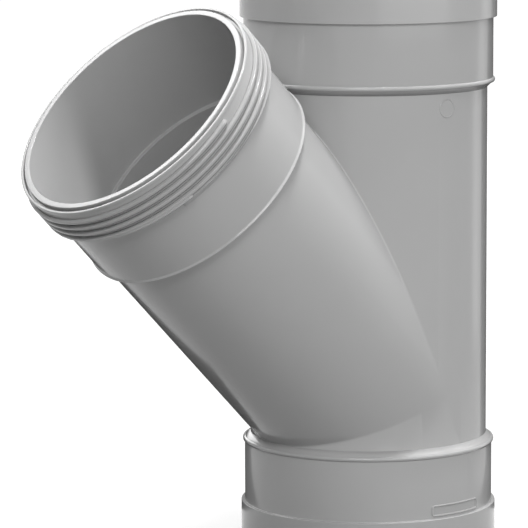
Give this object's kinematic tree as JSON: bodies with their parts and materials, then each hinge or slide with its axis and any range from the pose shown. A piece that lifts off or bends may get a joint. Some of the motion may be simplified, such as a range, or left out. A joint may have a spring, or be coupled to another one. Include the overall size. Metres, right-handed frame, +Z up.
{
  "type": "lateral wye fitting",
  "caption": "Lateral wye for soil and waste pipe: a straight run with plain sockets at its ends and a full-bore angled branch with an external thread for a screw cap.",
  "frame": {"origin": "centre of the lower socket's mouth, in the plane of its rim", "axes": "+Z up along the straight run, the branch rises towards -X and +Z, +Y completes a right-handed frame"},
  "size_m": [0.2429, 0.125, 0.2648],
  "materials": {
    "grey_pvc": "smooth injection-moulded grey PVC-U with a soft satin gloss"
  },
  "bodies": {
    "root": {"wye_body": "grey_pvc"}
  },
  "joints": []
}
